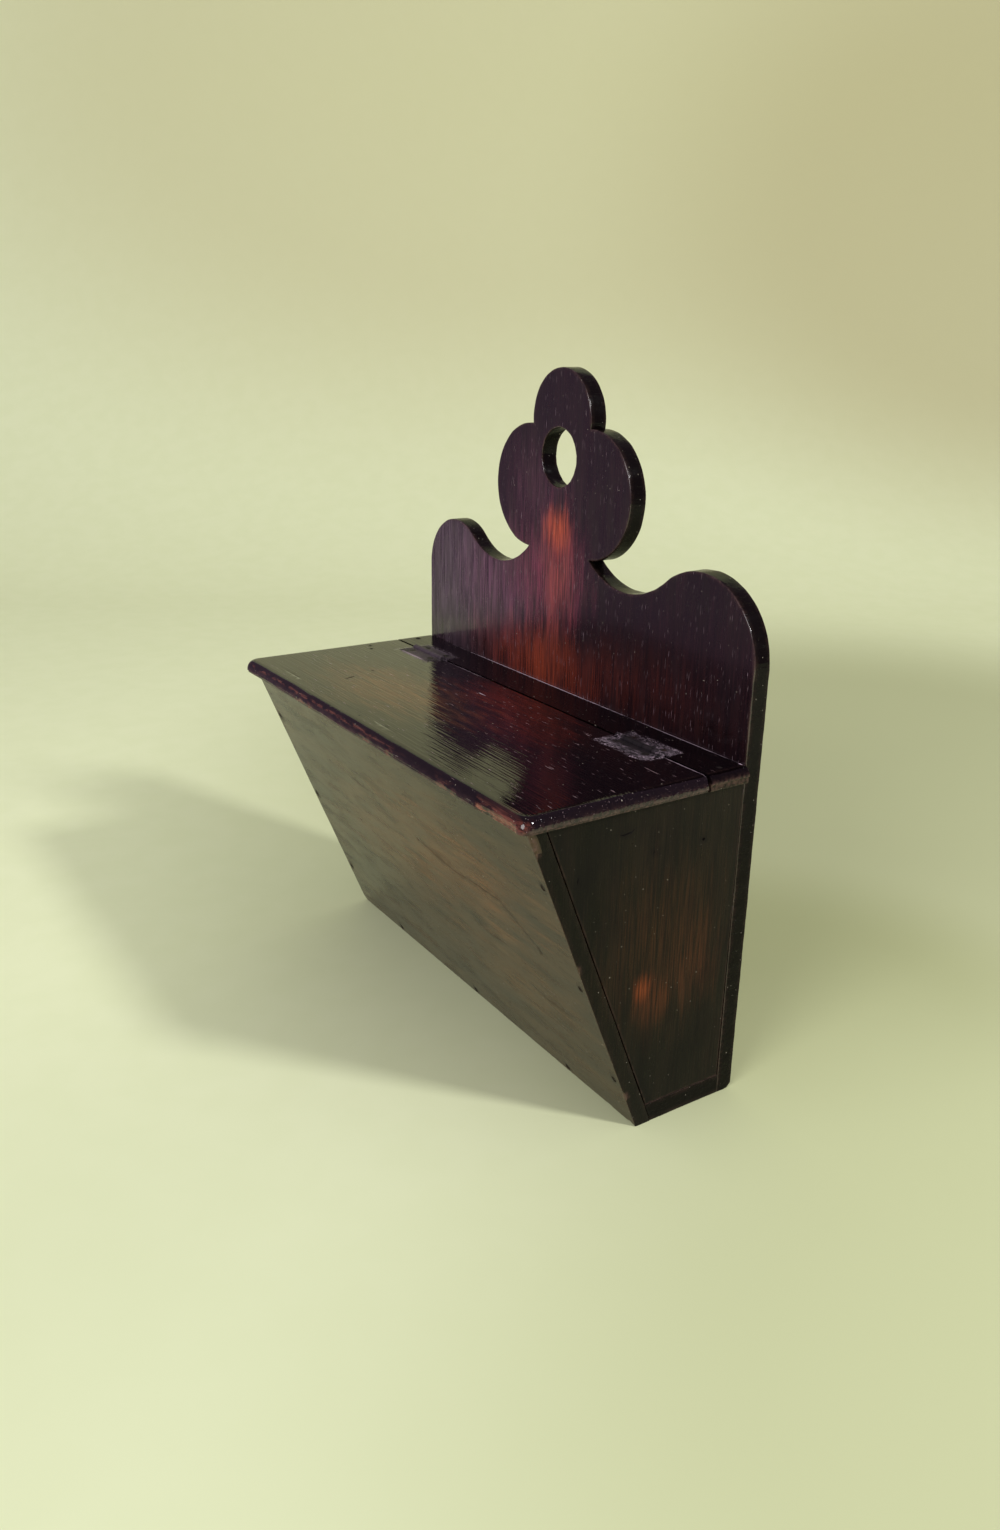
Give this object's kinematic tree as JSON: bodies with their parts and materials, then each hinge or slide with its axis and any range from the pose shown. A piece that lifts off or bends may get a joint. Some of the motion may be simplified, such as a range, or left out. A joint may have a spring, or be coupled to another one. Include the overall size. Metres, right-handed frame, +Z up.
{
  "type": "wall candle box with a hinged lid",
  "caption": "Wall-hung oak candle box with a sloping front, a lid hinged to a fixed rail, and a tall backboard with a lobed crest and a hanging hole.",
  "frame": {"origin": "middle of the footprint, on the surface that the box stands on", "axes": "+Z up, -Y to the front, +X to the right seen from the front"},
  "size_m": [0.328, 0.151, 0.382],
  "materials": {
    "backboard_oak": "dark stained and waxed",
    "carcass_oak": "dark stained and waxed",
    "lid_oak": "dark stained and polished",
    "hinge_iron": "blackened and waxed",
    "fastener_iron": "rusted and waxed"
  },
  "bodies": {
    "carcass": {"backboard": "backboard_oak", "front_board": "carcass_oak", "left_end_board": "carcass_oak", "right_end_board": "carcass_oak", "bottom_board": "carcass_oak", "hinge_rail": "lid_oak", "left_hinge_rail_leaf": "hinge_iron", "right_hinge_rail_leaf": "hinge_iron", "left_hinge_pin": "hinge_iron", "right_hinge_pin": "hinge_iron", "left_hinge_rail_screws": "fastener_iron", "right_hinge_rail_screws": "fastener_iron", "front_left_nails": "fastener_iron", "front_right_nails": "fastener_iron", "front_bottom_nails": "fastener_iron", "back_left_nails": "fastener_iron", "back_right_nails": "fastener_iron", "back_bottom_nails": "fastener_iron", "back_rail_nails": "fastener_iron", "bottom_left_nails": "fastener_iron", "bottom_right_nails": "fastener_iron", "rail_left_nail": "fastener_iron", "rail_right_nail": "fastener_iron"},
    "lid": {"lid_board": "lid_oak", "left_hinge_lid_leaf": "hinge_iron", "right_hinge_lid_leaf": "hinge_iron", "left_hinge_lid_screws": "fastener_iron", "right_hinge_lid_screws": "fastener_iron"}
  },
  "joints": [
    {"name": "lid_hinge", "type": "hinge", "parent": "carcass", "child": "lid", "pos_m": [0, 0.0375, 0.1955], "axis": [-1, 0, 0], "range_deg": [0, 104]}
  ]
}
